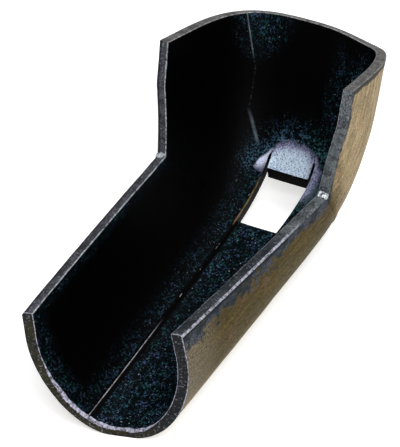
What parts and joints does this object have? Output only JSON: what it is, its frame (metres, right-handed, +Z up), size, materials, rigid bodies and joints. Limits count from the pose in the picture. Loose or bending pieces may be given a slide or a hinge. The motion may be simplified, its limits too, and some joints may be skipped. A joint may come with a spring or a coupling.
{
  "type": "conduit bender shoe",
  "caption": "Open U-shaped bending shoe of welded steel plate: a long front trough, a notched bend with a floor window, and a short trough rising at 60 degrees.",
  "frame": {"origin": "under the middle of the overall box, on the surface that the flat foot of the front floor stands on", "axes": "+Y along the front trough from its lip towards the bend, +Z up out of the open side, +X to the right of someone looking along +Y"},
  "size_m": [0.1001, 0.2272, 0.0967],
  "materials": {
    "side_plate": "black oiled mill finish, worn to brown bare steel outside",
    "floor_strip": "black oiled mill finish, ground bright round the window",
    "weld": "weld metal, ground"
  },
  "bodies": {
    "root": {"left_side_plate": "side_plate", "right_side_plate": "side_plate", "front_floor_strip": "floor_strip", "rear_floor_strip": "floor_strip", "left_notch_weld": "weld", "right_notch_weld": "weld", "front_left_seam_weld": "weld", "front_right_seam_weld": "weld", "rear_left_seam_weld": "weld", "rear_right_seam_weld": "weld"}
  },
  "joints": []
}
